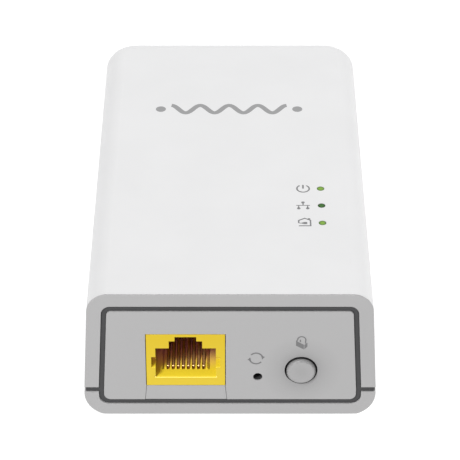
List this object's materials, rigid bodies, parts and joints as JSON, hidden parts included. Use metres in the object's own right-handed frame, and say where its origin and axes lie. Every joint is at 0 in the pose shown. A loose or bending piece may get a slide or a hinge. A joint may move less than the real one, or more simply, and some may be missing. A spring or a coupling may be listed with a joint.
{
  "type": "powerline adapter",
  "caption": "Plug-in powerline network adapter: white box, grey port end with a network jack, push button, reset hole and lights, and a mains plug behind.",
  "frame": {"origin": "on the rear face, midway between the two flat plug blades", "axes": "+X across the body with the button on the positive side, +Y from the port end to the far end, +Z out of the wall towards the front of the adapter"},
  "size_m": [0.0582, 0.0996, 0.0498],
  "materials": {
    "white_cover": "fine satin moulding",
    "grey_cover": "fine satin moulding",
    "grey_button": "satin",
    "grey_plug_block": "satin",
    "dark_seal": "matt",
    "lit_green_lens": "translucent",
    "dim_green_lens": "translucent",
    "black_plastic": "matt",
    "yellow_plastic": "satin",
    "gold_contacts": "polished",
    "green_board": "solder mask",
    "led_white": "satin",
    "switch_black": "matt",
    "switch_plunger": "satin",
    "chip_black": "matt",
    "thermal_pad": "matt",
    "heat_sink_metal": "milled",
    "crystal_metal": "satin",
    "ferrite": "matt",
    "insulation": "satin",
    "amber_board": "satin",
    "capacitor_sleeve": "shrink sleeve",
    "winding_tape": "tape",
    "film_capacitor": "satin",
    "ceramic_disc": "dipped",
    "copper_wire": "enamelled",
    "fuse_body": "satin",
    "plug_metal": "nickel plated",
    "screw_steel": "zinc plated",
    "label": "satin film"
  },
  "bodies": {
    "root": {"top_cover": "white_cover", "end_trim": "grey_cover", "rear_cover": "grey_cover", "seam_gasket": "dark_seal", "io_panel": "grey_cover", "port_sill": "grey_cover", "light_pipe_power": "lit_green_lens", "light_pipe_network": "dim_green_lens", "light_pipe_home": "lit_green_lens", "light_pipe_holder": "black_plastic", "rj45_jack": "yellow_plastic", "jack_contacts": "gold_contacts", "logic_board": "green_board", "status_leds": "led_white", "reset_switch_body": "switch_black", "security_switch_body": "switch_black", "ethernet_transformer": "chip_black", "network_chip": "chip_black", "thermal_pad": "thermal_pad", "heat_sink": "heat_sink_metal", "memory_chips": "chip_black", "ethernet_chip": "chip_black", "crystal": "crystal_metal", "line_coupler": "ferrite", "line_driver_chip": "chip_black", "board_header": "black_plastic", "insulation_sheet": "insulation", "power_board": "amber_board", "bulk_capacitors": "capacitor_sleeve", "output_capacitor": "capacitor_sleeve", "transformer_core": "ferrite", "transformer_winding": "winding_tape", "interference_capacitor": "film_capacitor", "safety_capacitor": "ceramic_disc", "choke_core": "ferrite", "choke_winding": "copper_wire", "fuse": "fuse_body", "varistor": "ceramic_disc", "bridge_rectifier": "chip_black", "plug_block": "grey_plug_block", "plug_blade_live": "plug_metal", "plug_blade_neutral": "plug_metal", "plug_earth_pin": "plug_metal", "case_screws": "screw_steel", "rating_label": "label"},
    "button": {"security_button": "grey_button"},
    "security_plunger": {"security_switch_plunger": "switch_plunger"},
    "reset_plunger": {"reset_switch_plunger": "switch_plunger"}
  },
  "joints": [
    {"name": "button_press", "type": "slide", "parent": "root", "child": "button", "axis": [0, 1, 0], "range_m": [0, 0.0005], "stiffness_N_per_m": 1200, "springref_m": -0.0005},
    {"name": "security_switch_press", "type": "slide", "parent": "root", "child": "security_plunger", "axis": [0, 1, 0], "range_m": [0, 0.0005]},
    {"name": "reset_switch_press", "type": "slide", "parent": "root", "child": "reset_plunger", "axis": [0, 1, 0], "range_m": [0, 0.0003], "stiffness_N_per_m": 1500, "springref_m": -0.0003}
  ],
  "couplings": [
    {"joint": "security_switch_press", "follows": "button_press", "ratio": 1}
  ]
}
